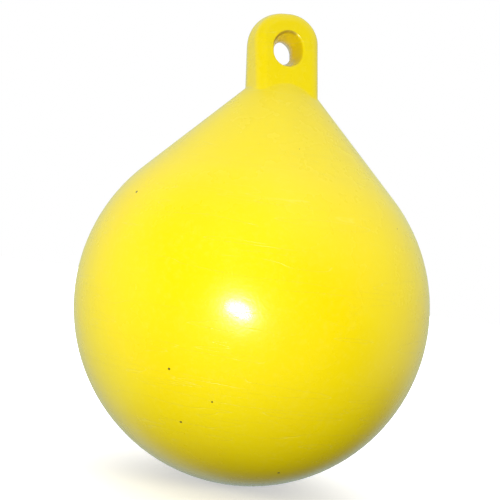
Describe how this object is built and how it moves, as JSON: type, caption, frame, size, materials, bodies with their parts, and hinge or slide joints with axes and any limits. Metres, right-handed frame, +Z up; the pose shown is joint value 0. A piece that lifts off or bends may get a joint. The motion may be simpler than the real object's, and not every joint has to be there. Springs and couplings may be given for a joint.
{
  "type": "anchor buoy",
  "caption": "Inflatable pear-shaped marker float for an anchor or mooring line, with a thick moulded rope eye on top and a filler valve in its shoulder.",
  "frame": {"origin": "on the axis at the waterline of the buoy floating free", "axes": "+Z up the axis towards the rope eye, +X across the flat of the eye, +Y towards the valve"},
  "size_m": [0.3, 0.3, 0.4017],
  "materials": {
    "shell": "glossy yellow vinyl",
    "eye": "glossy yellow vinyl, solid",
    "valve_body": "moulded black plastic",
    "valve_screw": "moulded black plastic"
  },
  "bodies": {
    "root": {"shell": "shell", "eye": "eye", "valve_body": "valve_body", "valve_screw": "valve_screw"}
  },
  "joints": []
}
